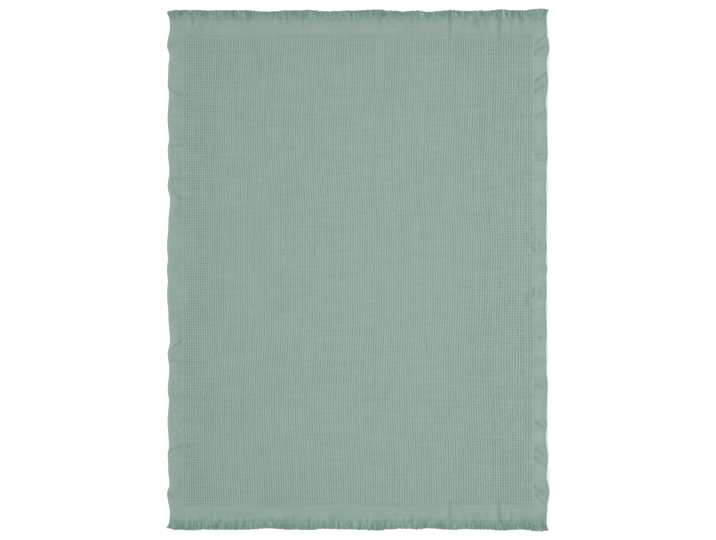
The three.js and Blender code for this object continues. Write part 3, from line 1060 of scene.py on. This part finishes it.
class CutFringe:
    """A fringe's node tree: cut warp ends that settle on the floor and gather into locks."""

    INPUTS = {
        "Hem line": "NodeSocketGeometry",
        "Warp ends": "NodeSocketInt",
        "Yarn radius": "NodeSocketFloat",
        "Reach": "NodeSocketFloat",
        "Root depth": "NodeSocketFloat",
        "Outward": "NodeSocketFloat",
        "Settling": "NodeSocketFloat",
        "Lock pitch": "NodeSocketFloat",
        "Lock pull": "NodeSocketFloat",
        "Stray": "NodeSocketFloat",
        "Wisp": "NodeSocketFloat",
        "Pile": "NodeSocketFloat",
        "Seed": "NodeSocketInt",
        "Finish": "NodeSocketMaterial",
    }

    def __init__(self):
        outputs = {"Yarns": "NodeSocketGeometry"}
        self.tree, self.given, result = new_tree("cut_fringe", "GeometryNodeTree", self.INPUTS, outputs)
        ends = self.warp_ends()
        root = self.node("ShaderNodeSeparateXYZ", Vector=out(ends, "Root"))
        self.root_x, self.root_y, self.root_z = (out(root, axis) for axis in "XYZ")
        self.share = out(self.node("GeometryNodeSplineParameter"), "Factor")
        self.each = {"yarn": out(ends, "Number")}
        self.lock = (self.root_x / self.given["Lock pitch"] + self.chance("lock_blur")).step("FLOOR")
        self.each["lock"] = self.lock
        self.wispy = self.chance("wispy") ** WISP_RARITY
        plug(result.inputs["Yarns"], self.spun(self.toned(self.laid(self.strands(ends)))))

    def node(self, kind, settings=None, **inputs):
        """A new node in this tree."""
        return add_node(self.tree, kind, settings, **inputs)

    def chance(self, use):
        """A fixed random value for each yarn, or for each lock."""
        low, high, each = YARN_CHANCES[use]
        seed = self.given["Seed"] + float(list(YARN_CHANCES).index(use))
        return out(self.node("FunctionNodeRandomValue", Min=low, Max=high, ID=self.each[each], Seed=seed))

    def on_hem(self, name):
        """A value marked along the hem line."""
        return out(self.node("GeometryNodeInputNamedAttribute", Name=name), "Attribute")

    def warp_ends(self):
        """Points along the hem line that keep their places and numbers for their yarns."""
        hem = self.node("GeometryNodeMeshToCurve", Mesh=self.given["Hem line"])
        ends = self.node("GeometryNodeResampleCurve", Curve=out(hem), Count=self.given["Warp ends"])
        kept = self.node("GeometryNodeCaptureAttribute")
        kept.capture_items.new("VECTOR", "Root")
        kept.capture_items.new("INT", "Number")
        plug(kept.inputs["Geometry"], out(ends))
        plug(kept.inputs["Root"], out(self.node("GeometryNodeInputPosition")))
        plug(kept.inputs["Number"], out(self.node("GeometryNodeInputIndex")))
        return kept

    def strands(self, ends):
        """A straight strand at each warp end."""
        line = self.node("GeometryNodeCurvePrimitiveLine", End=(0.0, 1.0, 0.0))
        strand = self.node("GeometryNodeResampleCurve", Curve=out(line), Count=STRAND_POINTS)
        placed = self.node("GeometryNodeInstanceOnPoints", Points=out(ends), Instance=out(strand))
        return out(self.node("GeometryNodeRealizeInstances", Geometry=out(placed)))

    def wave(self, use):
        """A bend to and fro along each yarn."""
        return (self.share * self.chance(f"{use}_turn") + self.chance(f"{use}_start")).step("SINE")

    def across(self):
        """X along each yarn: drawn to its lock, leaning, bent, and a few gone off as wisps."""
        share, given = self.share, self.given
        middle = (self.lock + self.chance("lock_middle")) * given["Lock pitch"]
        drawn = (middle - self.root_x) * given["Lock pull"] * self.chance("gather") * share ** GATHER_CURVE
        with_lock = self.chance("lock_stray") * self.chance("lock_hold")
        stray = given["Stray"] * (with_lock + self.chance("stray"))
        lean = (self.on_hem("flare") + stray) * share ** LEAN_CURVE
        bend = (self.wave("bow") * BOW + self.wave("crimp") * CRIMP) * given["Stray"] * share
        wisp = given["Wisp"] * self.wispy * self.chance("wisp_side") * share ** LEAN_CURVE
        return self.root_x + drawn + lean + bend + wisp

    def height(self, reach):
        """Z along each yarn: from the weave down to the floor, or onto other yarns."""
        share, given = self.share, self.given
        piled = given["Pile"] * (self.chance("pile") + self.wispy) * (share * PILE_ARCH).step("SINE")
        on_floor = given["Yarn radius"] * REST_HEIGHT + piled
        past_edge = reach * share - given["Root depth"]
        fallen = (past_edge / given["Settling"]).step("SMOOTH_MIN", 1.0, SETTLE_EASE)
        return self.root_z.blend(on_floor, fallen.step("SMOOTH_MAX", 0.0, SETTLE_EASE))

    def laid(self, strands):
        """The strands where they have come to lie."""
        length = self.given["Reach"] + self.on_hem("past")
        reach = length * self.chance("cut") * self.chance("lock_cut")
        y = self.root_y + reach * self.share * self.given["Outward"]
        place = self.node("ShaderNodeCombineXYZ", X=self.across(), Y=y, Z=self.height(reach))
        return out(self.node("GeometryNodeSetPosition", Geometry=strands, Position=out(place)))

    def marked(self, geometry, name, value, kind="FLOAT"):
        """The geometry with a named value at each point, for the material."""
        settings = {"data_type": kind}
        store = "GeometryNodeStoreNamedAttribute"
        return out(self.node(store, settings, Geometry=geometry, Name=name, Value=value))

    def toned(self, strands):
        """The strands with each yarn's tone, and how loose and how far out it is along its length."""
        light = self.chance("tone") ** TONE_CURVE * TONE_SHARE
        light = light + self.chance("lock_tone") ** LOCK_TONE_CURVE * LOCK_TONE_SHARE
        freed = (self.share - self.chance("held")) * LOOSENING
        loose = freed.step("MAXIMUM", 0.0).step("MINIMUM", 1.0)
        strands = self.marked(strands, "yarn_tone", light)
        strands = self.marked(strands, "loose", loose)
        return self.marked(strands, "reach", self.share)

    def spun(self, strands):
        """The strands as round yarns with capped ends, finished as one mesh."""
        circle = self.node("GeometryNodeCurvePrimitiveCircle", Resolution=YARN_SIDES, Radius=1.0)
        position = out(self.node("GeometryNodeInputPosition"))
        section = self.marked(out(circle), "around", position, "FLOAT_VECTOR")
        radius = (self.share ** TIP_CURVE * TIP_GAUGE + ROOT_GAUGE) * self.given["Yarn radius"]
        yarns = self.node("GeometryNodeCurveToMesh", Curve=strands, Profile_Curve=section, Scale=radius,
                          Fill_Caps=True)
        smooth = self.node("GeometryNodeSetShadeSmooth", Geometry=out(yarns))
        whole = self.node("GeometryNodeRealizeInstances", Geometry=out(smooth))
        return out(self.node("GeometryNodeSetMaterial", Geometry=out(whole), Material=self.given["Finish"]))


def hem_line(end):
    """The line of an end's roots, just inside the woven edge, with what varies along it."""
    corners = edge_reach(np.array([-1.0, 1.0]), np.full(2, WOVEN_END)) - 2 * YARN_RADIUS
    x = np.linspace(-corners[0], corners[1], HEM_POINTS)
    from_middle = woven_edge(x, end) - ROOT_DEPTH
    y = end * from_middle
    z = np.maximum(drape(x, y), 0) + BORDER_THICKNESS / 2
    mesh = bpy.data.meshes.new("hem_line")
    mesh.from_pydata(np.stack([x, y, z], -1), [(i, i + 1) for i in range(HEM_POINTS - 1)], [])
    cut = named(CUT_LINE, CUT_LINE_COLUMNS)
    from_corner = np.minimum(x + corners[0], corners[1] - x)
    mark(mesh, "past", eased(cut["across"], cut["past"], x) + WOVEN_END - from_middle)
    mark(mesh, "flare", by_side(x, -LEFT_FLARE, RIGHT_FLARE) * np.exp(-from_corner / FLARE_WIDTH))
    return mesh


def fringe_yarns(name, end, seed, tree, finish):
    """One end's fringe as a plain mesh of its yarns."""
    piece = add_object(name, hem_line(end))
    values = {
        "Warp ends": WARP_ENDS,
        "Yarn radius": YARN_RADIUS,
        "Reach": FRINGE_REACH,
        "Root depth": ROOT_DEPTH,
        "Outward": float(end),
        "Settling": SETTLING,
        "Lock pitch": LOCK_PITCH,
        "Lock pull": LOCK_PULL,
        "Stray": STRAY,
        "Wisp": WISP,
        "Pile": PILE,
        "Seed": seed,
        "Finish": finish,
    }
    modifier = piece.modifiers.new("fringe", "NODES")
    modifier.node_group = tree
    for item in tree.interface.items_tree:
        if item.in_out == "INPUT" and item.name in values:
            modifier[item.identifier] = values[item.name]
    evaluated = piece.evaluated_get(bpy.context.evaluated_depsgraph_get())
    mesh = bpy.data.meshes.new_from_object(evaluated)
    piece.modifiers.clear()
    piece.data = mesh
    mesh.name = name
    return piece


# Stage

def floor():
    """A wide pale floor just under the throw."""
    sides = ((-1, -1), (1, -1), (1, 1), (-1, 1))
    corners = [(x * FLOOR_REACH, y * FLOOR_REACH, -FLOOR_GAP) for x, y in sides]
    mesh = bpy.data.meshes.new("pale_floor")
    mesh.from_pydata(corners, [], [(0, 1, 2, 3)])
    mesh.materials.append(floor_material())
    add_object("pale_floor", mesh)


def camera():
    """Straight above the throw, framed as in the photograph, with the head fringe at the top."""
    data = bpy.data.cameras.new("overhead")
    data.lens = data.sensor_width * CAMERA_HEIGHT / (PHOTO_WIDTH * PIXEL)
    view = add_object("overhead", data)
    view.location = (0, 0, CAMERA_HEIGHT)
    bpy.context.scene.camera = view


def lights():
    """An even white surround, a broad soft light low on the left, and a weak soft box overhead."""
    scene = bpy.context.scene
    scene.view_settings.view_transform = "Standard"
    scene.world = bpy.data.worlds.new("studio")
    scene.world.use_nodes = True
    surround = scene.world.node_tree.nodes["Background"]
    surround.inputs["Color"].default_value = colour(WHITE)
    surround.inputs["Strength"].default_value = SURROUND_STRENGTH
    side = bpy.data.lights.new("side_light", "SUN")
    side.energy = SIDE_LIGHT_STRENGTH
    side.angle = math.radians(SIDE_LIGHT_SPREAD)
    turned = (0, math.radians(SIDE_LIGHT_TILT), math.radians(SIDE_LIGHT_TURN))
    add_object("side_light", side).rotation_euler = turned
    box = bpy.data.lights.new("soft_box", "AREA")
    box.energy = SOFT_BOX_POWER
    box.size = SOFT_BOX_SIZE
    overhead = add_object("soft_box", box)
    overhead.location = SOFT_BOX_PLACE
    overhead.visible_camera = False


def main():
    tone = cotton_tone_group()
    weave_finish = cotton_weave_material(tone, woven_yarns_group())
    fringe_finish = cotton_fringe_material(tone)

    cloth = add_object("woven_throw", throw_mesh())
    cloth.data.materials.append(weave_finish)
    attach(cloth, "root")
    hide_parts("throw_cloth")

    tree = CutFringe().tree
    for name, node, end, seed in FRINGES:
        yarn_piece = fringe_yarns(name, end, seed, tree, fringe_finish)
        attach(yarn_piece, "root")
        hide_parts(node)

    floor()
    camera()
    lights()


main()
